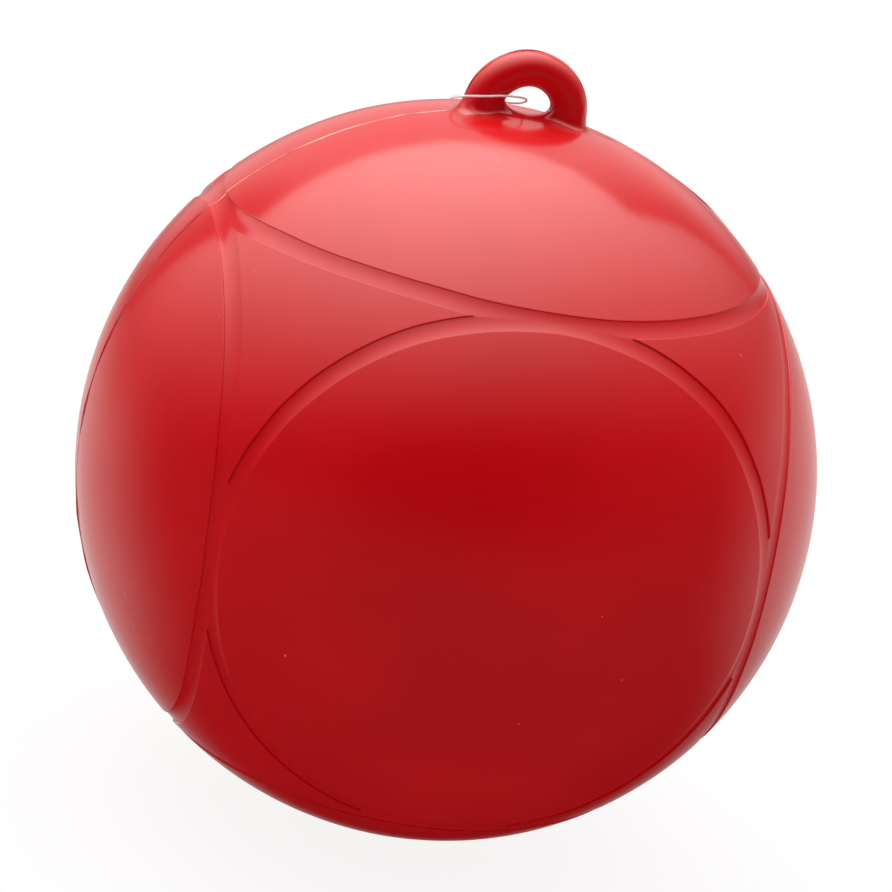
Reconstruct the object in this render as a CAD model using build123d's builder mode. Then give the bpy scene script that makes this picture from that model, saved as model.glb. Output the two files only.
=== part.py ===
"""Slalom buoy: a moulded vinyl float with an eye on top and a screw valve sunk in its underside.

Frame: origin at the centre of the ball, +Z up through the eye, +Y along the hole of the eye.
Millimetres. The mould parts on the XZ plane, and the valve is opposite the eye.
"""

import math
import os

from build123d import *

# Ball
BALL_DIAMETER = 228.6
WALL = 2.2

# Round panels, one on each of the six axes, each framed by a groove
PANEL_HALF_ANGLE = 43.5
GROOVE_WIDTH = 5.3
GROOVE_DEPTH = 0.6
GROOVE_DRAFT = 0.35

# Eye: a ring of round bar, sunk to its middle in the ball, whose feet flare into the skin
EYE_BAR_DIAMETER = 10.5
EYE_ARCH_RADIUS = 14.0
EYE_CENTRE_RISE = 0.1
EYE_FOOT_FILLET = 2.4
CROWN_MARGIN = 4.0

# Valve, sunk in a boss inside the wall
VALVE_RECESS_DIAMETER = 21.0
VALVE_RECESS_DEPTH = 6.9
VALVE_HOLE_DIAMETER = 12.0
BOSS_WALL = 8.0
BOSS_LENGTH = 13.0
RECESS_LIP_ROUND = 1.2
FLANGE_DIAMETER = 18.0
FLANGE_THICKNESS = 2.4
BARB_DIAMETER = 14.0
BARB_LENGTH = 3.0
PLUG_EDGE = 0.5
PLUG_CLEARANCE = 0.05
SCREW_DIAMETER = 5.0
SCREW_LENGTH = 13.0
SCREW_HEAD_DIAMETER = 10.0
SCREW_HEAD_HEIGHT = 2.6
SCREW_SLOT_WIDTH = 1.4
SCREW_SLOT_DEPTH = 1.3
SCREW_POINT = 0.8
HEAD_ROUND = 1.4
SCREW_CLEARANCE = 0.06
WASHER_DIAMETER = 9.0
WASHER_THICKNESS = 1.0

# Worked-out sizes and places
COS_45 = math.cos(math.pi / 4)
ONTO_Y = (90, 0, 0)
ball_radius = BALL_DIAMETER / 2
inner_radius = ball_radius - WALL
groove_floor_radius = ball_radius - GROOVE_DEPTH
groove_start = math.radians(PANEL_HALF_ANGLE)
groove_end = groove_start + GROOVE_WIDTH / ball_radius
draft_angle = GROOVE_DRAFT / ball_radius
cut_margin = 2 * GROOVE_DEPTH
panel_root_radius = groove_floor_radius - GROOVE_DEPTH
eye_bar_radius = EYE_BAR_DIAMETER / 2
eye_centre_z = ball_radius + EYE_CENTRE_RISE
eye_foot_reach = EYE_ARCH_RADIUS + eye_bar_radius + EYE_FOOT_FILLET
crown_radius = eye_foot_reach + CROWN_MARGIN
crown_seat_z = math.sqrt(ball_radius**2 - crown_radius**2)
valve_seat_z = -(ball_radius - VALVE_RECESS_DEPTH)
boss_inner_z = valve_seat_z + BOSS_LENGTH
flange_face_z = valve_seat_z - FLANGE_THICKNESS
head_seat_z = flange_face_z - WASHER_THICKNESS
screw_radius = SCREW_DIAMETER / 2
recess_radius = VALVE_RECESS_DIAMETER / 2
lip_radius = recess_radius + RECESS_LIP_ROUND
lip_z = -math.sqrt(ball_radius**2 - lip_radius**2)
boss_radius = VALVE_HOLE_DIAMETER / 2 + BOSS_WALL
boss_foot_z = -math.sqrt((ball_radius - WALL / 2) ** 2 - boss_radius**2)
plug_radius = VALVE_HOLE_DIAMETER / 2 - PLUG_CLEARANCE
bore_radius = screw_radius + SCREW_CLEARANCE
head_face_z = head_seat_z - SCREW_HEAD_HEIGHT


def polar(radius, angle):
    """Point in a sketch at that distance from the ball's centre, angle measured from the local Y axis."""
    return (radius * math.sin(angle), radius * math.cos(angle))


def plane_through(axis_direction, across):
    """Sketch plane that holds a panel's axis as its local Y and the across direction as its local X."""
    return Plane(origin=(0, 0, 0), x_dir=across, z_dir=across.cross(axis_direction))


# Panel axes: direction of the panel's centre, and a direction across it
X, Y, Z = Vector(1, 0, 0), Vector(0, 1, 0), Vector(0, 0, 1)
PANEL_AXES = [(Z, X), (-Z, X), (X, Y), (-X, Y), (Y, Z), (-Y, Z)]

# Corner panels: what the six rings of groove leave of the skin, eight curved triangles
with BuildPart() as corner_panels:
    Sphere(ball_radius)
    Sphere(panel_root_radius, mode=Mode.SUBTRACT)
    for direction, across in PANEL_AXES:
        with BuildSketch(plane_through(direction, across)):
            with BuildLine():
                cut_foot = polar(panel_root_radius - cut_margin, groove_end - 2 * draft_angle)
                cut_rim = polar(ball_radius + cut_margin, groove_end + draft_angle)
                cut_top = ball_radius + 2 * cut_margin
                Polyline((0, cut_foot[1]), cut_foot, cut_rim, (cut_rim[0], cut_top), (0, cut_top), close=True)
            make_face()
        revolve(axis=Axis((0, 0, 0), direction), mode=Mode.SUBTRACT)

# Moulding: the ball with its panels, still solid and in one
with BuildPart() as moulding:
    Sphere(groove_floor_radius)
    for direction, across in PANEL_AXES:
        with BuildSketch(plane_through(direction, across)):
            with BuildLine():
                panel_foot = polar(panel_root_radius, groove_start + 2 * draft_angle)
                panel_rim = polar(ball_radius, groove_start)
                panel_middle = polar(ball_radius, groove_start / 2)
                ThreePointArc((0, ball_radius), panel_middle, panel_rim)
                Polyline(panel_rim, panel_foot, (0, panel_foot[1]), (0, ball_radius))
            make_face()
        revolve(axis=Axis((0, 0, 0), direction))
    add(corner_panels.part)

# Float shell: the moulding below the crown, hollowed, with a boss for the valve
with BuildPart() as float_shell:
    add(moulding.part)
    split(bisect_by=Plane.XY.offset(crown_seat_z), keep=Keep.BOTTOM)
    Sphere(inner_radius, mode=Mode.SUBTRACT)
    with Locations((0, 0, boss_inner_z)):
        Cylinder(boss_radius, boss_inner_z - boss_foot_z, align=(Align.CENTER, Align.CENTER, Align.MAX))
    with BuildSketch(Plane.XZ):
        with BuildLine():
            Polyline(
                (0, boss_inner_z + BARB_LENGTH),
                (VALVE_HOLE_DIAMETER / 2, boss_inner_z + BARB_LENGTH),
                (VALVE_HOLE_DIAMETER / 2, valve_seat_z),
                (recess_radius, valve_seat_z),
                (recess_radius, lip_z + RECESS_LIP_ROUND),
            )
            ThreePointArc(
                (recess_radius, lip_z + RECESS_LIP_ROUND),
                (lip_radius - RECESS_LIP_ROUND * COS_45, lip_z + RECESS_LIP_ROUND * (1 - COS_45)),
                (lip_radius, lip_z),
            )
            Polyline(
                (lip_radius, lip_z),
                (lip_radius, -ball_radius - cut_margin),
                (0, -ball_radius - cut_margin),
                (0, boss_inner_z + BARB_LENGTH),
            )
        make_face()
    revolve(axis=Axis.Z, mode=Mode.SUBTRACT)

# Rope eye: the solid crown of the ball with the ring that stands in it, the axis of both along Y
with BuildPart() as rope_eye:
    Sphere(ball_radius, rotation=ONTO_Y)
    with Locations((0, 0, eye_centre_z)):
        Torus(EYE_ARCH_RADIUS, eye_bar_radius, rotation=ONTO_Y)
    fillet(rope_eye.edges().filter_by(GeomType.BSPLINE), EYE_FOOT_FILLET)
    split(bisect_by=Plane.XY.offset(crown_seat_z), keep=Keep.TOP)

# Valve plug: flange on the recess floor, body through the boss, barb behind it
with BuildPart() as valve_plug:
    with BuildSketch(Plane.XZ):
        with BuildLine():
            Polyline(
                (bore_radius, flange_face_z),
                (FLANGE_DIAMETER / 2 - PLUG_EDGE, flange_face_z),
                (FLANGE_DIAMETER / 2, flange_face_z + PLUG_EDGE),
                (FLANGE_DIAMETER / 2, valve_seat_z),
                (plug_radius, valve_seat_z),
                (plug_radius, boss_inner_z),
                (BARB_DIAMETER / 2, boss_inner_z),
                (plug_radius - PLUG_EDGE, boss_inner_z + BARB_LENGTH),
                (bore_radius, boss_inner_z + BARB_LENGTH),
                close=True,
            )
        make_face()
    revolve(axis=Axis.Z)

# Seal washer under the head of the screw
with BuildPart() as seal_washer:
    with BuildSketch(Plane.XY.offset(head_seat_z)):
        Circle(WASHER_DIAMETER / 2)
        Circle(bore_radius, mode=Mode.SUBTRACT)
    extrude(amount=WASHER_THICKNESS)

# Valve screw: slotted round head below, plain shank up the bore of the plug
with BuildPart() as valve_screw:
    with BuildSketch(Plane.XY.offset(head_face_z)):
        Circle(SCREW_HEAD_DIAMETER / 2)
    extrude(amount=SCREW_HEAD_HEIGHT)
    fillet(valve_screw.edges().group_by(Axis.Z)[0], HEAD_ROUND)
    with BuildSketch(Plane.XY.offset(head_seat_z)):
        Circle(screw_radius)
    extrude(amount=SCREW_LENGTH)
    chamfer(valve_screw.edges().group_by(Axis.Z)[-1], SCREW_POINT)
    with Locations((0, 0, head_face_z)):
        Box(
            2 * SCREW_HEAD_DIAMETER,
            SCREW_SLOT_WIDTH,
            2 * SCREW_SLOT_DEPTH,
            mode=Mode.SUBTRACT,
        )

os.makedirs("parts", exist_ok=True)
float_shell.part.label = "float_shell"
rope_eye.part.label = "rope_eye"
valve_plug.part.label = "valve_plug"
seal_washer.part.label = "seal_washer"
valve_screw.part.label = "valve_screw"
export_step(float_shell.part, "parts/float_shell.step")
export_step(rope_eye.part, "parts/rope_eye.step")
export_step(valve_plug.part, "parts/valve_plug.step")
export_step(seal_washer.part, "parts/seal_washer.step")
export_step(valve_screw.part, "parts/valve_screw.step")
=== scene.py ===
"""Slalom buoy: the moulded float, its screw valve and its tag tie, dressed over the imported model.

Run as a script. Lengths are in metres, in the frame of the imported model: origin at the centre of the
ball, +Z up through the eye, +Y along the hole of the eye.
"""

import math

import bmesh
import bpy
import numpy as np
from mathutils import Matrix, Vector, noise


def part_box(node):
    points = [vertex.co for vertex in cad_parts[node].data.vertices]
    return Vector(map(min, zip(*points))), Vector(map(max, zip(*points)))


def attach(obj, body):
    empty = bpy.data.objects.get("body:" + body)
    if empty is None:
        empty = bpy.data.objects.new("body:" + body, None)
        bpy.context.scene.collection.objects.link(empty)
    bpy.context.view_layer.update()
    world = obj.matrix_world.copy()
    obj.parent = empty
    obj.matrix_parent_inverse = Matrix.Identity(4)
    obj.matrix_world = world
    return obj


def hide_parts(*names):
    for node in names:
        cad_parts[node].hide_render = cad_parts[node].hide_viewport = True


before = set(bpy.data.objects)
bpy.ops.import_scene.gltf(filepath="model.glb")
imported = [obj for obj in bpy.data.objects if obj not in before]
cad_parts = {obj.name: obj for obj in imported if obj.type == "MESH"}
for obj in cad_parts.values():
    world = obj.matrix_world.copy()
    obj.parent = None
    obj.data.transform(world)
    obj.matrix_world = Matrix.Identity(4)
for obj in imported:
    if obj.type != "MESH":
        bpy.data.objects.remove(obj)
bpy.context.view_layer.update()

bl_info = {
    "name": "Slalom buoy",
    "version": (1, 0, 0),
    "blender": (4, 5, 0),
    "location": "View3D > Sidebar > Buoy",
    "description": "Moulds the float, fits its valve and tag tie, and sets the studio",
    "category": "Object",
}

BALL_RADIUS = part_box("float_shell")[1][0]
EYE_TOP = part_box("rope_eye")[1][2]
FLANGE_FACE, BARB_TOP = (corner[2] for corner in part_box("valve_plug"))
HEAD_FACE, SCREW_TIP = (corner[2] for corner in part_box("valve_screw"))
HEAD_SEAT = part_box("seal_washer")[0][2]
HEAD_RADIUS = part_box("valve_screw")[1][0]

# Round the axis of the eye and the valve the skin neither drifts nor strays, and from there on it eases in
STILL_RADIUS = 0.020
EASE_WIDTH = 0.025

# How near vertices lie to be welded, where the sectors meet and within one piece
SECTOR_WELD = 4e-6
WELD = 1e-6
FINE_CUT = 1e-8

# Length of the taper at the tip of the screw
SCREW_POINT = 0.0006

# Seed of the noise by which the skin strays, so that each run gives the same skin
NOISE_SEED = 3

# Axis of a round panel, how far its middle drifts from that axis, and the share by which it spreads
PANEL_DRIFT = (
    ((0, 0, 1), (0.001, -0.001, 0.0), 0.07),
    ((-1, 0, 0), (0.0, 0.0, -0.013), 0.0),
    ((1, 0, 0), (0.0, -0.003, 0.0025), 0.0),
    ((0, -1, 0), (-0.010, 0.0, -0.0085), 0.0),
)


def length(name, description, default):
    """A distance that a user may change."""
    return bpy.props.FloatProperty(
        name=name, description=description, default=default, unit="LENGTH", subtype="DISTANCE", precision=5
    )


def angle(name, description, degrees):
    """An angle that a user may change."""
    return bpy.props.FloatProperty(
        name=name, description=description, default=math.radians(degrees), unit="ROTATION", subtype="ANGLE"
    )


def number(name, description, default):
    """A plain number that a user may change."""
    return bpy.props.FloatProperty(name=name, description=description, default=default, min=0.0)


def colour(name, description, default):
    """A linear colour that a user may change."""
    return bpy.props.FloatVectorProperty(
        name=name, description=description, default=default, size=3, subtype="COLOR", min=0.0, max=1.0
    )


class BuoyBallSettings(bpy.types.PropertyGroup):
    """Sizes of the moulded ball."""

    radius: length("Ball radius", "From the centre to the face of a panel", BALL_RADIUS)
    panel_angle: angle("Panel half angle", "Half the angle a round panel takes up at the centre", 43.5)
    groove_width: length("Groove width", "Across the groove that frames a round panel", 0.0053)
    groove_depth: length("Groove depth", "How far the middle of the groove lies below the panels", 0.0006)
    groove_wall: length("Groove wall", "How far the groove's steep inner side reaches down", 0.00025)
    groove_turn: number("Groove turn", "Share of the groove's width over which its floor falls", 0.6)
    groove_upturn: length("Groove upturn", "How far the floor rises again at the outer side", 0.0001)
    edge_round: length("Edge round", "How far the edge of a panel is rounded", 0.0001)
    edge_wander: length("Edge wander", "How far the edges of the grooves stray from true circles", 0.00035)
    seam_height: length("Seam height", "How far the mould's parting line stands up", 0.00042)
    seam_half_width: length("Seam half width", "Half the width of the parting line", 0.0004)
    swell: length("Swell", "How far the skin swells and sinks between its edges", 0.00004)
    spin_steps: bpy.props.IntProperty(
        name="Spin steps", description="Faces round each panel", default=192, min=32, max=256
    )


class BuoyEyeSettings(bpy.types.PropertyGroup):
    """Sizes of the eye."""

    arch_radius: length("Arch radius", "Centre line of the arch", 0.014)
    bar_radius: length("Bar radius", "Half the thickness of the bar", 0.00525)
    shoulder: length("Shoulder", "How much thicker the bar is inside its left shoulder", 0.0007)
    top: length("Top", "Height of the eye's crown above the centre of the ball", EYE_TOP)
    sill_set: length("Sill set", "How far in front of the parting plane the sill lies", 0.0033)
    sill_half: length("Sill half width", "Half the width of the sill under the hole", 0.0019)
    sill_rise: length("Sill rise", "How far the middle of the sill stands above the ball", 0.00045)
    sill_bow: length("Sill bow", "Radius to which the top of the sill is hollowed between the legs", 0.0125)
    sill_edge: length("Sill edge", "Rounding of the sill's edges", 0.0015)
    foot_reach: length("Foot reach", "How far off the eye begins to run into the ball", 0.0048)
    foot_spread: length("Foot spread", "How much further the foot reaches outside the left leg", 0.0028)
    foot_tuck: length("Foot tuck", "How much less the foot reaches outside the right leg", 0.0002)
    sill_reach: length("Sill reach", "How far off the sill begins to run into the legs", 0.0052)
    crown_height: length("Crown height", "Height at which the crown meets the ball", 0.1085)
    skin_step: length("Skin step", "Size of the faces of the crown", 0.0005)


class BuoyValveSettings(bpy.types.PropertyGroup):
    """Sizes of the valve at the bottom of the ball."""

    recess_radius: length("Recess radius", "Radius of the recess that the valve sits in", 0.0105)
    lip_round: length("Lip round", "Rounding of the recess's mouth", 0.0012)
    flange: length("Flange", "Thickness of the plug's flange on the floor of the recess", 0.0024)
    hole_radius: length("Hole radius", "Radius of the hole that the plug is pressed into", 0.006)
    boss_length: length("Boss length", "Length of the hole behind the recess", 0.013)
    pitch: length("Thread pitch", "How far the screw moves in one turn", 0.00125)
    core_radius: length("Core radius", "Radius at the root of the thread", 0.00205)
    crest_radius: length("Crest radius", "Radius at the crest of the thread", 0.00245)
    head_round: length("Head round", "Rounding of the screw head", 0.0014)
    slot_width: length("Slot width", "Width of the slot in the screw head", 0.0014)
    slot_depth: length("Slot depth", "Depth of the slot in the screw head", 0.0013)


class BuoyTieSettings(bpy.types.PropertyGroup):
    """Sizes of the tag tie."""

    wire_radius: length("Wire radius", "Half the thickness of the tie", 0.00033)
    rise: length("Rise", "Height of the tie in front of the leg, above the centre of the ball", 0.1191)
    climb: number("Climb", "How much the tie rises for each length that it runs to the right", 0.15)
    reach_out: length("Reach out", "How far the loop stands out past the leg of the eye", 0.0037)
    reach_in: length("Reach in", "How far the loop reaches into the hole of the eye", 0.0085)
    drop: length("Drop", "How much lower the strand behind the leg lies", 0.0028)


class BuoyFinishSettings(bpy.types.PropertyGroup):
    """Colours of the finishes, and the pale colour painted along the parting line as its highlight."""

    vinyl: colour("Vinyl", "Red of the moulded vinyl", (0.64, 0.0028, 0.0070))
    # Painted highlight: the pale colour of the parting line stands in for the light that the raised line
    # catches
    seam_highlight: colour("Flash", "Pale vinyl of the thin parting line", (0.80, 0.36, 0.32))
    nylon: colour("Nylon", "Natural nylon of the screw and the tie", (0.90, 0.89, 0.86))
    plug: colour("Plug", "Black plastic of the valve plug", (0.022, 0.022, 0.024))
    rubber: colour("Rubber", "Rubber of the seal", (0.012, 0.012, 0.012))
    dust: colour("Dust", "Pale dust that lies on the pieces", (0.75, 0.62, 0.58))


class BuoyStageSettings(bpy.types.PropertyGroup):
    """Camera and studio."""

    azimuth: angle("Camera azimuth", "Turn of the camera round the ball", -16.5)
    elevation: angle("Camera elevation", "Height of the camera over the horizon", 18.27)
    roll: angle("Camera roll", "Turn of the picture about the line of sight", 12.32)
    distance: length("Camera distance", "From the camera to the point it looks at", 0.8618)
    aim_rise: length("Aim rise", "How far above the centre the camera looks, up the picture", 0.00727)
    lens: bpy.props.FloatProperty(
        name="Lens", description="Focal length of the camera", default=111.94, unit="CAMERA"
    )
    tint: colour("Tint", "Colour of the studio's light", (1.0, 0.985, 0.945))
    ceiling: number("Ceiling", "Brightness of the white scrim overhead", 3.7)
    fall: number("Fall", "How fast the scrim darkens towards the horizon", 2.5)
    backdrop: number("Backdrop", "How much of the white backdrop the gloss shows", 0.95)
    side_fill: number("Side fill", "Light from pale walls at both sides", 0.35)
    rear_fill: number("Rear fill", "Light from the backdrop, which shows at the rims", 1.0)


def start_clean():
    """Leaves edit mode and deselects everything."""
    if bpy.context.object and bpy.context.object.mode != "OBJECT":
        bpy.ops.object.mode_set(mode="OBJECT")
    bpy.ops.object.select_all(action="DESELECT")


def take(obj):
    """Selects obj alone and makes it the active one."""
    start_clean()
    obj.select_set(True)
    bpy.context.view_layer.objects.active = obj


def edit(obj):
    """Opens obj alone in edit mode, with its whole mesh selected."""
    take(obj)
    bpy.ops.object.mode_set(mode="EDIT")
    select_mesh()


def select_mesh():
    """Selects the whole mesh that is open in edit mode."""
    bpy.ops.mesh.select_all(action="SELECT")


def weld(threshold):
    """Joins the vertices of the open mesh that lie within the threshold."""
    select_mesh()
    bpy.ops.mesh.remove_doubles(threshold=threshold)


def face_out():
    """Turns the faces of the open mesh outwards."""
    select_mesh()
    bpy.ops.mesh.normals_make_consistent(inside=False)


def object_mode():
    """Leaves edit mode."""
    bpy.ops.object.mode_set(mode="OBJECT")


def pick(obj, kind, test):
    """Selects what passes the test of the vertices, edges or faces of the open mesh. Returns how many."""
    mesh = bmesh.from_edit_mesh(obj.data)
    for seq in (mesh.verts, mesh.edges, mesh.faces):
        for item in seq:
            item.select = False
    bpy.context.tool_settings.mesh_select_mode = (kind == "VERT", kind == "EDGE", kind == "FACE")
    mesh.select_mode = {kind}
    found = 0
    for item in {"VERT": mesh.verts, "EDGE": mesh.edges, "FACE": mesh.faces}[kind]:
        if test(item):
            item.select_set(True)
            found += 1
    mesh.select_flush_mode()
    bmesh.update_edit_mesh(obj.data)
    return found


def drawn_line(name, points):
    """A new object in edit mode that holds one line of edges through the points."""
    start_clean()
    bpy.ops.mesh.primitive_plane_add(size=0.001)
    obj = bpy.context.object
    obj.name = name
    obj.data.name = name
    bpy.context.tool_settings.mesh_select_mode = (True, False, False)
    edit(obj)
    bpy.ops.mesh.merge(type="CENTER")
    bpy.ops.transform.translate(value=Vector(points[0]))
    for here, there in zip(points, points[1:]):
        bpy.ops.mesh.extrude_region_move(TRANSFORM_OT_translate={"value": Vector(there) - Vector(here)})
    return obj


def joined(objects, name):
    """The objects as one, named for the piece."""
    start_clean()
    for obj in objects:
        obj.select_set(True)
    bpy.context.view_layer.objects.active = objects[0]
    bpy.ops.object.join()
    objects[0].name = name
    objects[0].data.name = name
    return objects[0]


def settle(obj, body, slot, *nodes):
    """Rides obj on its body and lets it stand for the CAD nodes. The slot is not used."""
    take(obj)
    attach(obj, body)
    if nodes:
        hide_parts(*nodes)


def groove_section(ball, lip):
    """Points from a panel's middle over its groove and beyond, as angle and distance from the centre."""
    start, width = ball.panel_angle, ball.groove_width
    edge_drop = 0.1 * ball.groove_wall
    panel_steps, corner_steps, corner_end = 19, 6, math.radians(56.0)
    rows = [(0.0, 0.0), (0.4 * lip, 0.0), (0.75 * lip, 0.0), (lip, 0.0)]
    before = start - 4 * ball.edge_round / ball.radius
    for step in range(1, panel_steps + 1):
        rows.append((lip + (before - lip) * step / panel_steps, 0.0))
    rows.append((start - ball.edge_round / ball.radius, 0.0))
    rows.append((start, edge_drop))
    for share in (0.015, 0.04, 0.08, 0.13, 0.20, 0.29, 0.39, 0.49, 0.6, 0.71, 0.80, 0.88, 0.94, 0.978):
        if share < ball.groove_turn:
            lifted = (ball.groove_depth - ball.groove_wall) * (1.0 - share / ball.groove_turn) ** 2
        else:
            lifted = ball.groove_upturn * ((share - ball.groove_turn) / (1.0 - ball.groove_turn)) ** 2
        rows.append((start + share * width / ball.radius, ball.groove_depth - lifted))
    rows.append((start + width / ball.radius, edge_drop))
    rows.append((start + (width + ball.edge_round) / ball.radius, 0.0))
    after = start + (width + 4 * ball.edge_round) / ball.radius
    for step in range(corner_steps + 1):
        rows.append((after + (corner_end - after) * step / corner_steps, 0.0))
    return [(turn, ball.radius - sunk) for turn, sunk in rows]


def moulded_ball(ball, valve):
    """The ball as six alike sectors, each a spun panel trimmed to its share of the sphere."""
    lip = math.asin((valve.recess_radius + valve.lip_round) / ball.radius)
    section = [(r * math.sin(a), 0.0, r * math.cos(a)) for a, r in groove_section(ball, lip)]
    sector = drawn_line("float_moulding", section)
    select_mesh()
    bpy.ops.mesh.spin(steps=ball.spin_steps, angle=2 * math.pi, center=(0, 0, 0), axis=(0, 0, 1))
    weld(WELD)
    for side in ((1, 0, -1), (-1, 0, -1), (0, 1, -1), (0, -1, -1)):
        select_mesh()
        bpy.ops.mesh.bisect(plane_co=(0, 0, 0), plane_no=side, clear_outer=True, threshold=FINE_CUT)
    object_mode()
    turns = [Matrix.Rotation(math.radians(t), 4, "X") for t in (90, 180, 270)]
    turns += [Matrix.Rotation(math.radians(t), 4, "Y") for t in (90, 270)]
    copies = [sector]
    for turn in turns:
        copy = sector.copy()
        copy.data = sector.data.copy()
        copy.data.transform(turn)
        bpy.context.collection.objects.link(copy)
        copies.append(copy)
    whole = joined(copies, "float_moulding")
    edit(whole)
    weld(SECTOR_WELD)
    face_out()
    object_mode()
    return whole


def drift_panels(skin, ball):
    """Moves the grooves along the ball to where the mould has them, clear of the eye and the valve."""
    flat = np.empty(len(skin.data.vertices) * 3, dtype=np.float32)
    skin.data.vertices.foreach_get("co", flat)
    places = flat.reshape(-1, 3).astype(np.float64)
    radius = np.linalg.norm(places, axis=1)[:, None]
    way = places / radius
    shift = np.zeros_like(way)
    for axis, drift, spread in PANEL_DRIFT:
        along = (way @ np.array(axis, dtype=float))[:, None]
        turn = np.cross(np.cross(axis, drift) / ball.radius, way)
        shift += np.maximum(along, 0.0) ** 2 * (turn + spread * (way - along * np.array(axis)))
    off_axis = np.hypot(places[:, 0], places[:, 1])[:, None]
    clear = np.clip((off_axis - STILL_RADIUS) / EASE_WIDTH, 0.0, 1.0)
    way += shift * clear**2 * (3.0 - 2.0 * clear)
    places = way / np.linalg.norm(way, axis=1)[:, None] * radius
    skin.data.vertices.foreach_set("co", places.astype(np.float32).ravel())
    skin.data.update()


def run_together(first, second, reach):
    """The lower of two distances, eased from one to the other where they differ by less than the reach."""
    near = np.maximum(reach - np.abs(first - second), 0.0) / reach
    return np.minimum(first, second) - reach * near**3 / 6.0


def crown_form(points, ball, eye):
    """Distance of points from the skin in which ball, arch and sill run together, below zero inside."""
    x, y, z = points.T
    rise = np.maximum(z - (eye.top - eye.bar_radius - eye.arch_radius), 0.0)
    reach = np.hypot(x, rise)
    up_left = np.clip((rise - x) / (math.sqrt(2.0) * reach + 1e-9), 0.0, 1.0)
    shoulder = 0.5 * eye.shoulder * up_left**4
    arch = np.hypot(reach - eye.arch_radius + shoulder, y) - eye.bar_radius - shoulder
    # The sill is hollowed between the legs and swings back to them
    half_hole, swing = eye.arch_radius - eye.bar_radius, 0.75
    hollow = np.minimum(np.abs(x), half_hole) ** 2 / (2 * eye.sill_bow)
    over = z - (ball.radius + eye.sill_rise + hollow - eye.sill_edge)
    setting = eye.sill_set * (1.0 - swing * np.clip(x / half_hole, -1.0, 1.0) ** 2)
    beside = np.abs(y + setting) - (eye.sill_half - eye.sill_edge)
    sill = np.hypot(np.maximum(over, 0.0), np.maximum(beside, 0.0))
    sill += np.minimum(np.maximum(over, beside), 0.0)
    sill = np.maximum(sill - eye.sill_edge, np.abs(x) - eye.arch_radius)
    globe = np.linalg.norm(points, axis=1) - ball.radius
    left = np.clip((-x - eye.arch_radius) / eye.bar_radius, 0.0, 1.0)
    right = np.clip((x - eye.arch_radius) / eye.bar_radius, 0.0, 1.0)
    foot = eye.foot_reach + eye.foot_spread * left - eye.foot_tuck * right
    return run_together(run_together(arch, sill, eye.sill_reach), globe, foot)


def drawn_to_skin(points, ball, eye):
    """The points, moved on to the skin along its steepest way."""
    rounds, nudge, least_slope = 12, 1e-6, 0.05
    for _ in range(rounds):
        slope = np.empty_like(points)
        for axis in range(3):
            step = np.zeros(3)
            step[axis] = nudge
            slope[:, axis] = crown_form(points + step, ball, eye) - crown_form(points - step, ball, eye)
        slope /= 2 * nudge
        size = np.maximum((slope**2).sum(axis=1), least_slope)
        points = points - slope * (crown_form(points, ball, eye) / size)[:, None]
    return points


def trimmed(obj, height, keep_above):
    """Cuts obj level at the height and keeps one side."""
    edit(obj)
    bpy.ops.mesh.bisect(
        plane_co=(0, 0, height),
        plane_no=(0, 0, 1),
        clear_inner=keep_above,
        clear_outer=not keep_above,
        threshold=FINE_CUT,
    )
    object_mode()


def moulded_crown(ball, eye):
    """The eye and the top of the ball: ring, sill and globe, remeshed as one and drawn to the skin."""
    centre = eye.top - eye.bar_radius - eye.arch_radius
    # How far below the crown the globe is cut, and how much is spare while the skin is smoothed
    globe_cut, spare, rounds = 0.010, 0.007, 3
    start_clean()
    bpy.ops.mesh.primitive_uv_sphere_add(segments=128, ring_count=64, radius=ball.radius)
    globe = bpy.context.object
    edit(globe)
    bpy.ops.mesh.bisect(
        plane_co=(0, 0, eye.crown_height - globe_cut), plane_no=(0, 0, 1), clear_inner=True, use_fill=True
    )
    object_mode()
    start_clean()
    bpy.ops.mesh.primitive_torus_add(
        major_segments=96,
        minor_segments=40,
        major_radius=eye.arch_radius,
        minor_radius=eye.bar_radius,
        location=(0, 0, centre),
        rotation=(math.pi / 2, 0, 0),
    )
    ring = bpy.context.object
    start_clean()
    bpy.ops.mesh.primitive_torus_add(
        major_segments=96,
        minor_segments=32,
        major_radius=eye.sill_bow + eye.sill_half,
        minor_radius=eye.sill_half,
        location=(0, -eye.sill_set, ball.radius + eye.sill_rise + eye.sill_bow),
        rotation=(math.pi / 2, 0, 0),
    )
    sill = bpy.context.object
    bpy.ops.object.transform_apply(location=True, rotation=True, scale=True)
    edit(sill)
    bpy.ops.mesh.bisect(
        plane_co=(0, 0, centre + eye.bar_radius), plane_no=(0, 0, 1), clear_outer=True, use_fill=True
    )
    object_mode()
    crown = joined([globe, ring, sill], "crown")
    bpy.ops.object.transform_apply(location=True, rotation=True, scale=True)
    fuse = crown.modifiers.new("fuse", "REMESH")
    fuse.mode = "VOXEL"
    fuse.voxel_size = eye.skin_step
    bpy.ops.object.modifier_apply(modifier=fuse.name)
    trimmed(crown, eye.crown_height - spare, True)
    for _ in range(rounds):
        edit(crown)
        bpy.ops.mesh.vertices_smooth(factor=0.5, repeat=5)
        object_mode()
        places = np.empty(len(crown.data.vertices) * 3, dtype=np.float32)
        crown.data.vertices.foreach_get("co", places)
        drawn = drawn_to_skin(places.reshape(-1, 3).astype(np.float64), ball, eye)
        crown.data.vertices.foreach_set("co", drawn.astype(np.float32).ravel())
        crown.data.update()
    trimmed(crown, eye.crown_height, True)
    return crown


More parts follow.
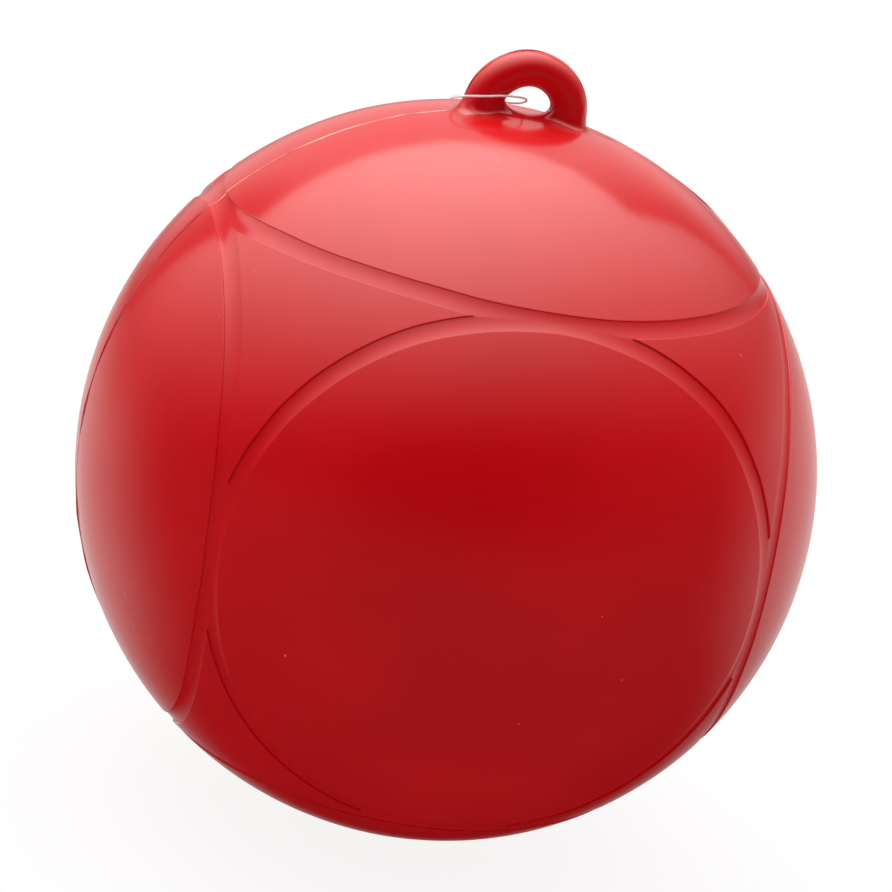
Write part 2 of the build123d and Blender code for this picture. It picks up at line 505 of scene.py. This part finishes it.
def sink_recess(skin, ball, valve):
    """Opens the bottom of the ball at the lip of the recess and draws the edge in round the valve."""
    mouth = valve.recess_radius + valve.lip_round
    lip_z = -math.sqrt(ball.radius**2 - mouth**2)
    seat = FLANGE_FACE + valve.flange
    back = seat + valve.boss_length
    corner, pocket_room, end_room = 0.0004, 0.002, 0.001
    rings = []
    for turn in (22.5, 45.0, 67.5, 90.0):
        t = math.radians(turn)
        rings.append((mouth - valve.lip_round * math.sin(t), lip_z + valve.lip_round * (1 - math.cos(t))))
    rings.append((valve.recess_radius, seat - corner))
    rings.append((valve.recess_radius - 0.3 * corner, seat - 0.3 * corner))
    rings.append((valve.recess_radius - corner, seat))
    rings += [(valve.hole_radius, seat), (valve.hole_radius, back)]
    pocket = valve.hole_radius + pocket_room
    rings += [(pocket, back), (pocket, BARB_TOP + end_room)]

    def in_mouth(face):
        middle = face.calc_center_median()
        return middle.z < 0.5 * lip_z and middle.xy.length < mouth - WELD

    edit(skin)
    if not pick(skin, "FACE", in_mouth):
        raise RuntimeError("no faces where the recess goes")
    bpy.ops.mesh.delete(type="FACE")
    pick(skin, "EDGE", lambda e: e.is_boundary and e.verts[0].co.z < 0)
    radius, height = mouth, lip_z
    for next_radius, next_height in rings:
        bpy.ops.mesh.extrude_region_move(TRANSFORM_OT_translate={"value": (0, 0, next_height - height)})
        ratio = next_radius / radius
        bpy.ops.transform.resize(value=(ratio, ratio, 1), center_override=(0, 0, next_height))
        radius, height = next_radius, next_height
    bpy.ops.mesh.extrude_region_move(TRANSFORM_OT_translate={"value": (0, 0, 0)})
    bpy.ops.mesh.merge(type="CENTER")
    object_mode()


def draw_seam(skin, ball, eye, valve):
    """Raises the thin line where the two halves of the mould met, round the plane of the eye."""
    edit(skin)
    for share in (0.0, -1.0, 1.0, -2.2, 2.2):
        beside = (0, share * ball.seam_half_width, 0)
        select_mesh()
        bpy.ops.mesh.bisect(plane_co=beside, plane_no=(0, 1, 0), threshold=0.1 * WELD)
    object_mode()
    mouth = valve.recess_radius + 2 * valve.lip_round
    patch_scale = 90.0
    centre = Vector((0.0, 0.0, eye.top - eye.bar_radius - eye.arch_radius))
    for vert in skin.data.vertices:
        in_recess = vert.co.z < 0 and vert.co.xy.length < mouth
        in_hole = (vert.co - centre).length < eye.arch_radius
        if abs(vert.co.y) < WELD and not in_recess and not in_hole:
            patchy = 0.65 + 0.7 * noise.noise(vert.co * patch_scale)
            vert.co += vert.normal * ball.seam_height * patchy


def let_wander(skin, ball):
    """Lets the panel edges stray from true circles and the skin swell and sink by a hair."""
    noise.seed_set(NOISE_SEED)
    swell_scale, broad_scale, fine_scale = 60.0, 48.0, 110.0
    for vert in skin.data.vertices:
        clear = (vert.co.xy.length - STILL_RADIUS) / EASE_WIDTH
        clear = min(max(clear, 0.0), 1.0)
        if clear:
            radius = vert.co.length + ball.swell * noise.noise(vert.co * swell_scale) * clear
            stray = noise.noise_vector(vert.co * broad_scale)
            stray += 0.5 * noise.noise_vector(vert.co * fine_scale)
            vert.co = (vert.co + stray * ball.edge_wander * clear).normalized() * radius


class BUOY_OT_mould_float(bpy.types.Operator):
    """Moulds the ball with its grooves, eye, valve recess and parting line in one skin"""

    bl_idname = "buoy.mould_float"
    bl_label = "Mould float"

    def execute(self, context):
        ball, eye, valve = context.scene.buoy_ball, context.scene.buoy_eye, context.scene.buoy_valve
        skin = moulded_ball(ball, valve)
        drift_panels(skin, ball)
        trimmed(skin, eye.crown_height - eye.skin_step, False)
        skin = joined([skin, moulded_crown(ball, eye)], "float_moulding")
        edit(skin)
        if not pick(skin, "EDGE", lambda e: e.is_boundary):
            raise RuntimeError("no open edges between the ball and its crown")
        bpy.ops.mesh.bridge_edge_loops()
        object_mode()
        sink_recess(skin, ball, valve)
        draw_seam(skin, ball, eye, valve)
        let_wander(skin, ball)
        edit(skin)
        face_out()
        take(skin)
        bpy.ops.object.shade_smooth_by_angle(angle=math.radians(38.0))
        skin.data.materials.append(vinyl_finish(context.scene.buoy_finish))
        settle(skin, "float", "vinyl", "float_shell", "rope_eye")
        return {"FINISHED"}


def thread_ridge(valve):
    """The raised thread as one closed strip, wound along the shank from a drawn section."""
    sunk, lead_in = 0.0001, 0.0016
    root, crest = valve.core_radius - sunk, valve.crest_radius
    half, flat = 0.36 * valve.pitch, 0.08 * valve.pitch
    start = HEAD_SEAT + lead_in
    turns = int((SCREW_TIP - start - SCREW_POINT) / valve.pitch)
    section = [(root, 0, start - half), (crest, 0, start - flat)]
    section += [(crest, 0, start + flat), (root, 0, start + half)]
    ridge = drawn_line("thread", section + section[:1])
    weld(WELD)
    object_mode()
    wind = ridge.modifiers.new("wind", "SCREW")
    wind.axis = "Z"
    wind.angle = 2 * math.pi
    wind.screw_offset = valve.pitch
    wind.iterations = turns
    wind.steps = wind.render_steps = 40
    bpy.ops.object.modifier_apply(modifier=wind.name)
    edit(ridge)
    bpy.ops.mesh.fill_holes(sides=0)
    face_out()
    object_mode()
    return ridge


def turned_screw(valve):
    """Shank and pan head, spun from a drawn section, with the slot cut across the head."""
    core, collar = valve.core_radius, valve.crest_radius
    tip_radius, collar_end, collar_top, rim = core - 0.0005, 0.0012, 0.0008, 0.0002
    section = [(0.0, SCREW_TIP), (tip_radius, SCREW_TIP), (core, SCREW_TIP - SCREW_POINT)]
    section += [(core, HEAD_SEAT + collar_end), (collar, HEAD_SEAT + collar_top), (collar, HEAD_SEAT)]
    section += [(HEAD_RADIUS - rim, HEAD_SEAT), (HEAD_RADIUS, HEAD_SEAT - rim)]
    round_steps = 8
    for step in range(round_steps + 1):
        turn = 0.5 * math.pi * step / round_steps
        reach = HEAD_RADIUS - valve.head_round * (1 - math.cos(turn))
        section.append((reach, HEAD_FACE + valve.head_round * (1 - math.sin(turn))))
    section.append((0.0, HEAD_FACE))
    screw = drawn_line("slotted_screw", [(r, 0, z) for r, z in section])
    select_mesh()
    bpy.ops.mesh.spin(steps=64, angle=2 * math.pi, center=(0, 0, 0), axis=(0, 0, 1))
    weld(WELD)
    face_out()
    object_mode()
    start_clean()
    bpy.ops.mesh.primitive_cube_add(size=1.0, location=(0, 0, HEAD_FACE))
    cutter = bpy.context.object
    cutter.dimensions = (4 * HEAD_RADIUS, valve.slot_width, 2 * valve.slot_depth)
    bpy.ops.object.transform_apply(location=True, rotation=True, scale=True)
    take(screw)
    cut = screw.modifiers.new("slot", "BOOLEAN")
    cut.operation = "DIFFERENCE"
    cut.solver = "EXACT"
    cut.object = cutter
    bpy.ops.object.modifier_apply(modifier=cut.name)
    bpy.data.objects.remove(cutter)
    soften = screw.modifiers.new("soften", "BEVEL")
    soften.width = 0.00012
    soften.segments = 2
    soften.limit_method = "ANGLE"
    soften.angle_limit = math.radians(50.0)
    bpy.ops.object.modifier_apply(modifier=soften.name)
    return screw


class BUOY_OT_turn_screw(bpy.types.Operator):
    """Turns the slotted valve screw and cuts its thread"""

    bl_idname = "buoy.turn_screw"
    bl_label = "Turn valve screw"

    def execute(self, context):
        valve = context.scene.buoy_valve
        pieces = [turned_screw(valve), thread_ridge(valve)]
        if not all(piece.data.polygons for piece in pieces):
            raise RuntimeError("the screw or its thread has no faces")
        screw = joined(pieces, "slotted_screw")
        take(screw)
        bpy.ops.object.shade_smooth_by_angle(angle=math.radians(32.0))
        screw.data.materials.append(nylon_finish(context.scene.buoy_finish))
        settle(screw, "screw", "screw_nylon", "valve_screw")
        return {"FINISHED"}


class BUOY_OT_finish_valve(bpy.types.Operator):
    """Gives the plug and the seal their finishes"""

    bl_idname = "buoy.finish_valve"
    bl_label = "Finish plug and seal"

    def execute(self, context):
        finish = context.scene.buoy_finish
        dressed = {
            "valve_plug": dull_finish("plug_plastic", finish.plug, finish.dust, 0.42, 900.0),
            "seal_washer": dull_finish("seal_rubber", finish.rubber, finish.dust, 0.72, 1500.0),
        }
        for name, material in dressed.items():
            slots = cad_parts[name].material_slots
            if not slots:
                raise RuntimeError("no material slot on " + name)
            for slot in slots:
                slot.material = material
        return {"FINISHED"}


class BUOY_OT_bend_tie(bpy.types.Operator):
    """Bends the tag tie into a loop round one leg of the eye"""

    bl_idname = "buoy.bend_tie"
    bl_label = "Bend tag tie"

    def execute(self, context):
        tie, eye = context.scene.buoy_tie, context.scene.buoy_eye
        grip = eye.bar_radius + 1.5 * tie.wire_radius
        outer = -eye.arch_radius - eye.bar_radius - tie.reach_out
        inner = -eye.arch_radius + eye.bar_radius + tie.reach_in
        middle = -eye.arch_radius
        start_clean()
        bpy.ops.curve.primitive_bezier_circle_add(radius=0.01)
        loop = context.object
        loop.name = "tag_tie"
        bpy.ops.object.mode_set(mode="EDIT")
        bpy.ops.curve.select_all(action="SELECT")
        bpy.ops.curve.subdivide()
        bpy.ops.curve.handle_type_set(type="AUTOMATIC")
        object_mode()
        # Across the eye, along its hole, and how far below the front strand as a share of the drop
        route = (
            (outer, 0.0, 0.7),
            (outer + 0.0020, -0.85 * grip, 0.1),
            (middle, -grip, 0.0),
            (inner - 0.0077, -0.93 * grip, 0.0),
            (inner, -0.1 * grip, 0.85),
            (inner - 0.0014, 0.6 * grip, 1.55),
            (middle, 1.02 * grip, 1.0),
            (outer + 0.0018, 0.8 * grip, 0.9),
        )
        for point, (x, y, lower) in zip(loop.data.splines[0].bezier_points, route):
            point.co = (x, y, tie.rise + tie.climb * (x - middle) - lower * tie.drop)
        loop.data.resolution_u = 12
        loop.data.bevel_depth = tie.wire_radius
        loop.data.bevel_resolution = 3
        bpy.ops.object.convert(target="MESH")
        loop = context.object
        loop.data.name = "tag_tie"
        bpy.ops.object.transform_apply(location=True, rotation=True, scale=True)
        bpy.ops.object.shade_smooth()
        loop.data.materials.append(nylon_finish(context.scene.buoy_finish))
        settle(loop, "float", "screw_nylon")
        return {"FINISHED"}


def add(tree, kind, **values):
    """A new node of the kind in the tree, with its properties set."""
    made = tree.nodes.new(kind)
    for key, value in values.items():
        setattr(made, key, value)
    return made


def reckon(tree, operation, first, second=None):
    """The output of a Math node. Each input is a number or a socket."""
    made = add(tree, "ShaderNodeMath", operation=operation)
    for socket, source in zip(made.inputs, (first, second)):
        if isinstance(source, bpy.types.NodeSocket):
            tree.links.new(source, socket)
        elif source is not None:
            socket.default_value = source
    return made.outputs[0]


def eased(tree, source, low, high, from_value=0.0, to_value=1.0):
    """The source, eased from one value to another between low and high."""
    made = add(tree, "ShaderNodeMapRange", interpolation_type="SMOOTHSTEP")
    tree.links.new(source, made.inputs["Value"])
    for name, value in zip(("From Min", "From Max", "To Min", "To Max"), (low, high, from_value, to_value)):
        made.inputs[name].default_value = value
    return made.outputs["Result"]


def new_group(name, inputs, outputs):
    """A shader node group with number sockets, and the nodes that stand for them inside it."""
    tree = bpy.data.node_groups.new(name, "ShaderNodeTree")
    for label, value in inputs.items():
        socket = tree.interface.new_socket(label, in_out="INPUT", socket_type="NodeSocketFloat")
        socket.default_value = value
    for label in outputs:
        tree.interface.new_socket(label, in_out="OUTPUT", socket_type="NodeSocketFloat")
    return tree, add(tree, "NodeGroupInput"), add(tree, "NodeGroupOutput")


def moulding_group():
    """Unevenness of a moulded skin: broad mottling and the fine ripple of its surface."""
    if "moulded_skin" in bpy.data.node_groups:
        return bpy.data.node_groups["moulded_skin"]
    tree, given, result = new_group("moulded_skin", {"Broad": 14.0, "Fine": 420.0}, ("Mottle", "Ripple"))
    place = add(tree, "ShaderNodeTexCoord").outputs["Object"]
    for scale, output, detail in (("Broad", "Mottle", 4.0), ("Fine", "Ripple", 2.0)):
        grain = add(tree, "ShaderNodeTexNoise")
        grain.inputs["Detail"].default_value = detail
        tree.links.new(place, grain.inputs["Vector"])
        tree.links.new(given.outputs[scale], grain.inputs["Scale"])
        tree.links.new(eased(tree, grain.outputs["Fac"], 0.3, 0.7), result.inputs[output])
    return tree


def dust_group():
    """Scattered specks of dust, as a mask."""
    if "dust_specks" in bpy.data.node_groups:
        return bpy.data.node_groups["dust_specks"]
    tree, given, result = new_group("dust_specks", {"Cells": 260.0, "Share": 0.06, "Size": 0.1}, ("Mask",))
    place = add(tree, "ShaderNodeTexCoord").outputs["Object"]
    cells = add(tree, "ShaderNodeTexVoronoi")
    tree.links.new(place, cells.inputs["Vector"])
    tree.links.new(given.outputs["Cells"], cells.inputs["Scale"])
    lot = add(tree, "ShaderNodeSeparateColor")
    tree.links.new(cells.outputs["Color"], lot.inputs["Color"])
    chosen = reckon(tree, "LESS_THAN", lot.outputs["Red"], given.outputs["Share"])
    reach = reckon(tree, "MULTIPLY", given.outputs["Size"], reckon(tree, "ADD", lot.outputs["Green"], 0.3))
    near = reckon(tree, "LESS_THAN", cells.outputs["Distance"], reach)
    tree.links.new(reckon(tree, "MULTIPLY", chosen, near), result.inputs["Mask"])
    return tree


def placed(tree, group, **values):
    """A group placed in a material's tree with its own values."""
    made = add(tree, "ShaderNodeGroup", node_tree=group)
    for label, value in values.items():
        made.inputs[label].default_value = value
    return made


def blended(tree, factor, first, second):
    """The colour that the factor blends from first to second, each a colour or a socket."""
    made = add(tree, "ShaderNodeMix", data_type="RGBA")
    tree.links.new(factor, made.inputs["Factor"])
    for socket, source in ((made.inputs[6], first), (made.inputs[7], second)):
        if isinstance(source, bpy.types.NodeSocket):
            tree.links.new(source, socket)
        else:
            socket.default_value = (*source, 1.0)
    return made.outputs[2]


def shaded(value, factor):
    """A colour made lighter or darker."""
    return tuple(min(part * factor, 1.0) for part in value)


def new_finish(name):
    """An empty material with its shader."""
    material = bpy.data.materials.new(name)
    material.use_nodes = True
    return material, material.node_tree, material.node_tree.nodes["Principled BSDF"]


def rippled(tree, shader, height, strength, distance):
    """Feeds a height to the shader's normal."""
    bump = add(tree, "ShaderNodeBump")
    bump.inputs["Strength"].default_value = strength
    bump.inputs["Distance"].default_value = distance
    tree.links.new(height, bump.inputs["Height"])
    tree.links.new(bump.outputs["Normal"], shader.inputs["Normal"])


def vinyl_finish(finish):
    """Moulded vinyl under a clear gloss, with a highlight painted pale along the parting line, a faint
    ripple and specks of dust.
    """
    material, tree, shader = new_finish("vinyl")
    skin = placed(tree, moulding_group(), Broad=16.0, Fine=420.0)
    dust = placed(tree, dust_group(), Cells=260.0, Share=0.06, Size=0.07)
    red = blended(tree, skin.outputs["Mottle"], shaded(finish.vinyl, 0.94), shaded(finish.vinyl, 1.04))
    place = add(tree, "ShaderNodeTexCoord").outputs["Object"]
    apart = add(tree, "ShaderNodeSeparateXYZ")
    reach = add(tree, "ShaderNodeVectorMath", operation="LENGTH")
    tree.links.new(place, apart.inputs["Vector"])
    tree.links.new(place, reach.inputs[0])
    # Painted highlight: pale where the parting line runs over the skin, from the mouth of the recess to the
    # legs of the eye
    line = eased(tree, reckon(tree, "ABSOLUTE", apart.outputs["Y"]), 0.0002, 0.00045, 1.0, 0.0)
    out_of_recess = eased(tree, reach.outputs["Value"], BALL_RADIUS - 0.0011, BALL_RADIUS - 0.0008)
    below_eye = eased(tree, reach.outputs["Value"], BALL_RADIUS + 0.004, BALL_RADIUS + 0.007, 1.0, 0.0)
    line = reckon(tree, "MULTIPLY", line, reckon(tree, "MULTIPLY", out_of_recess, below_eye))
    patchy = placed(tree, moulding_group(), Broad=60.0).outputs["Mottle"]
    line = reckon(tree, "MULTIPLY", line, eased(tree, patchy, 0.0, 1.0, 0.1, 1.0))
    # The painted highlight of the parting line goes into the base colour here
    red = blended(tree, line, red, finish.seam_highlight)
    specks = reckon(tree, "MULTIPLY", dust.outputs["Mask"], 0.36)
    tree.links.new(blended(tree, specks, red, finish.dust), shader.inputs["Base Color"])
    gloss = eased(tree, skin.outputs["Mottle"], 0.0, 1.0, 0.38, 0.46)
    dulled = reckon(tree, "ADD", gloss, reckon(tree, "MULTIPLY", specks, 0.8))
    tree.links.new(dulled, shader.inputs["Roughness"])
    shader.inputs["Specular IOR Level"].default_value = 0.05
    facing = add(tree, "ShaderNodeLayerWeight").outputs["Facing"]
    tree.links.new(eased(tree, facing, 0.45, 0.8, 1.0, 0.64), shader.inputs["Coat Weight"])
    shader.inputs["Coat IOR"].default_value = 1.55
    shader.inputs["Coat Roughness"].default_value = 0.15
    rippled(tree, shader, skin.outputs["Ripple"], 0.25, 0.00003)
    return material


def nylon_finish(finish):
    """Natural nylon, slightly milky."""
    if "nylon" in bpy.data.materials:
        return bpy.data.materials["nylon"]
    material, tree, shader = new_finish("nylon")
    skin = placed(tree, moulding_group(), Broad=300.0, Fine=2500.0)
    milky = blended(tree, skin.outputs["Mottle"], shaded(finish.nylon, 0.92), shaded(finish.nylon, 1.05))
    tree.links.new(milky, shader.inputs["Base Color"])
    tree.links.new(eased(tree, skin.outputs["Mottle"], 0.0, 1.0, 0.28, 0.40), shader.inputs["Roughness"])
    shader.inputs["Subsurface Weight"].default_value = 0.8
    shader.inputs["Subsurface Radius"].default_value = (1.0, 1.0, 1.0)
    shader.inputs["Subsurface Scale"].default_value = 0.0006
    rippled(tree, shader, skin.outputs["Ripple"], 0.3, 0.00002)
    return material


def dull_finish(name, tint, dust_tint, roughness, fine):
    """Dark plastic or rubber with a fine grain and a little dust."""
    material, tree, shader = new_finish(name)
    skin = placed(tree, moulding_group(), Broad=180.0, Fine=fine)
    dust = placed(tree, dust_group(), Cells=1200.0, Share=0.10, Size=0.12)
    dark = blended(tree, skin.outputs["Mottle"], shaded(tint, 0.75), shaded(tint, 1.4))
    specks = reckon(tree, "MULTIPLY", dust.outputs["Mask"], 0.25)
    tree.links.new(blended(tree, specks, dark, dust_tint), shader.inputs["Base Color"])
    rough = eased(tree, skin.outputs["Mottle"], 0.0, 1.0, roughness - 0.08, roughness + 0.08)
    tree.links.new(rough, shader.inputs["Roughness"])
    rippled(tree, shader, skin.outputs["Ripple"], 0.4, 0.00004)
    return material


def camera_axes(stage):
    """The camera's right, up and back in the frame of the buoy."""
    flat, turn = math.cos(stage.elevation), stage.azimuth
    back = Vector((math.sin(turn) * flat, -math.cos(turn) * flat, math.sin(stage.elevation)))
    level = Vector((0, 0, 1)).cross(back).normalized()
    right = Matrix.Rotation(stage.roll, 3, back) @ level
    return right, back.cross(right), back


def set_camera(scene, stage):
    """Stands the camera where the ball shows as in the product picture."""
    right, up, back = camera_axes(stage)
    data = bpy.data.cameras.new("camera")
    data.lens = stage.lens
    camera = bpy.data.objects.new("camera", data)
    scene.collection.objects.link(camera)
    turned = Matrix((right, up, back)).transposed().to_4x4()
    camera.matrix_world = Matrix.Translation(up * stage.aim_rise + back * stage.distance) @ turned
    scene.camera = camera


def set_world(scene, stage):
    """A white scrim overhead that darkens towards the horizon, with a white backdrop behind the ball."""
    right, up, back = camera_axes(stage)
    world = bpy.data.worlds.new("studio")
    world.use_nodes = True
    scene.world = world
    tree = world.node_tree
    way = add(tree, "ShaderNodeTexCoord").outputs["Generated"]

    def along(axis):
        dot = add(tree, "ShaderNodeVectorMath", operation="DOT_PRODUCT")
        tree.links.new(way, dot.inputs[0])
        dot.inputs[1].default_value = axis
        return dot.outputs["Value"]

    rise, behind, aside = along(up), along(-back), along(right)
    off_axis = reckon(tree, "ABSOLUTE", aside)
    height = reckon(tree, "MAXIMUM", rise, 0.02)

    def past(share, sideways):
        slanted = reckon(tree, "SUBTRACT", behind, reckon(tree, "MULTIPLY", sideways, share))
        return reckon(tree, "DIVIDE", slanted, height)

    # The dark gap past the scrim's rear edge, which bends away on the right and narrows to both sides
    leaning = reckon(tree, "ADD", off_axis, reckon(tree, "MULTIPLY", aside, 0.06))
    bent = reckon(tree, "POWER", reckon(tree, "MAXIMUM", aside, 0.0), 2.0)
    slant = reckon(tree, "SUBTRACT", aside, reckon(tree, "MULTIPLY", bent, 3.0))
    edge = eased(tree, past(0.15, slant), 0.50, 0.57)
    gap = reckon(tree, "MULTIPLY", edge, eased(tree, past(1.7, leaning), -0.95, -0.75))
    # The scrim, brightest overhead
    scrim = reckon(tree, "POWER", reckon(tree, "MAXIMUM", rise, 0.0), stage.fall)
    scrim = reckon(tree, "MULTIPLY", scrim, stage.ceiling)
    scrim = reckon(tree, "MULTIPLY", scrim, reckon(tree, "SUBTRACT", 1.0, gap))
    # Fill from the sides and from behind, which the gloss doesn't show
    light = add(tree, "ShaderNodeLightPath")
    from_sides = eased(tree, off_axis, 0.3, 1.0, 0.0, stage.side_fill)
    fill = reckon(tree, "ADD", from_sides, eased(tree, behind, -0.2, 0.8, 0.0, stage.rear_fill))
    scrim = reckon(tree, "ADD", scrim, reckon(tree, "MULTIPLY", light.outputs["Is Diffuse Ray"], fill))
    # The backdrop in the gloss, low behind the ball and high through the gap
    dipping = reckon(tree, "ADD", rise, reckon(tree, "MULTIPLY", off_axis, 0.3))
    low = eased(tree, dipping, -0.4, 0.05)
    low = reckon(tree, "MULTIPLY", low, eased(tree, rise, 0.05, 0.35, 1.0, 0.0))
    low = reckon(tree, "MULTIPLY", low, eased(tree, behind, -0.05, 1.0, 0.0, stage.backdrop))
    high = reckon(tree, "MULTIPLY", gap, eased(tree, rise, 0.15, 0.4))
    high = reckon(tree, "MULTIPLY", high, eased(tree, off_axis, 0.3, 0.6, 0.85, 0.1))
    backdrop = reckon(tree, "MAXIMUM", low, high)
    # Where the backdrop is seen it is white, and elsewhere the scrim lights the ball
    seen = reckon(tree, "MULTIPLY", light.outputs["Is Glossy Ray"], backdrop)
    seen = reckon(tree, "ADD", seen, light.outputs["Is Camera Ray"])
    seen = reckon(tree, "ADD", seen, light.outputs["Is Transmission Ray"])
    seen = reckon(tree, "MINIMUM", seen, 1.0)
    lit = reckon(tree, "MULTIPLY", scrim, reckon(tree, "SUBTRACT", 1.0, seen))
    tree.links.new(reckon(tree, "ADD", lit, seen), tree.nodes["Background"].inputs["Strength"])
    tint = blended(tree, light.outputs["Is Camera Ray"], stage.tint, (1.0, 1.0, 1.0))
    tree.links.new(tint, tree.nodes["Background"].inputs["Color"])


def lay_floor(context):
    """A plain pale floor under the ball, clear from below, which the ball's gloss doesn't show."""
    start_clean()
    bpy.ops.mesh.primitive_plane_add(size=12.0, location=(0, 0, -BALL_RADIUS))
    floor = context.object
    floor.name = "floor"
    material, tree, shader = new_finish("floor")
    shader.inputs["Base Color"].default_value = (0.86, 0.86, 0.86, 1)
    shader.inputs["Roughness"].default_value = 0.9
    shader.inputs["Specular IOR Level"].default_value = 0.0
    light = add(tree, "ShaderNodeLightPath")
    seen = reckon(tree, "MAXIMUM", light.outputs["Is Camera Ray"], light.outputs["Is Glossy Ray"])
    seen = reckon(tree, "MAXIMUM", seen, light.outputs["Is Transmission Ray"])
    white = add(tree, "ShaderNodeEmission")
    both = add(tree, "ShaderNodeMixShader")
    tree.links.new(eased(tree, seen, 0.0, 1.0, 0.72, 1.0), white.inputs["Strength"])
    tree.links.new(eased(tree, seen, 0.0, 1.0, 0.8, 0.89), both.inputs["Fac"])
    tree.links.new(shader.outputs["BSDF"], both.inputs[1])
    tree.links.new(white.outputs["Emission"], both.inputs[2])
    below = add(tree, "ShaderNodeMixShader")
    tree.links.new(add(tree, "ShaderNodeNewGeometry").outputs["Backfacing"], below.inputs["Fac"])
    tree.links.new(both.outputs["Shader"], below.inputs[1])
    tree.links.new(add(tree, "ShaderNodeBsdfTransparent").outputs["BSDF"], below.inputs[2])
    tree.links.new(below.outputs["Shader"], tree.nodes["Material Output"].inputs["Surface"])
    floor.data.materials.append(material)
    floor.visible_glossy = False


class BUOY_OT_set_stage(bpy.types.Operator):
    """Lays the floor and sets the light and the camera"""

    bl_idname = "buoy.set_stage"
    bl_label = "Set stage"

    def execute(self, context):
        scene, stage = context.scene, context.scene.buoy_stage
        scene.view_settings.view_transform = "Standard"
        set_camera(scene, stage)
        set_world(scene, stage)
        lay_floor(context)
        return {"FINISHED"}


class BUOY_PT_panel(bpy.types.Panel):
    """Lists the steps that dress the buoy"""

    bl_idname = "BUOY_PT_panel"
    bl_label = "Slalom buoy"
    bl_space_type = "VIEW_3D"
    bl_region_type = "UI"
    bl_category = "Buoy"

    def draw(self, context):
        for cls in OPERATORS:
            self.layout.operator(cls.bl_idname)


OPERATORS = (
    BUOY_OT_mould_float,
    BUOY_OT_turn_screw,
    BUOY_OT_finish_valve,
    BUOY_OT_bend_tie,
    BUOY_OT_set_stage,
)
SETTINGS = (
    BuoyBallSettings,
    BuoyEyeSettings,
    BuoyValveSettings,
    BuoyTieSettings,
    BuoyFinishSettings,
    BuoyStageSettings,
)
SETTING_NAMES = ("buoy_ball", "buoy_eye", "buoy_valve", "buoy_tie", "buoy_finish", "buoy_stage")


def register():
    """Makes the settings, the operators and the panel known."""
    for cls in SETTINGS + OPERATORS + (BUOY_PT_panel,):
        bpy.utils.register_class(cls)
    for name, cls in zip(SETTING_NAMES, SETTINGS):
        setattr(bpy.types.Scene, name, bpy.props.PointerProperty(type=cls))


def unregister():
    """Takes the settings, the operators and the panel away again."""
    for name in SETTING_NAMES:
        delattr(bpy.types.Scene, name)
    for cls in reversed(SETTINGS + OPERATORS + (BUOY_PT_panel,)):
        bpy.utils.unregister_class(cls)


def main():
    """Dresses the buoy step by step."""
    register()
    bpy.ops.buoy.mould_float()
    bpy.ops.buoy.turn_screw()
    bpy.ops.buoy.finish_valve()
    bpy.ops.buoy.bend_tie()
    bpy.ops.buoy.set_stage()


if __name__ == "__main__":
    main()
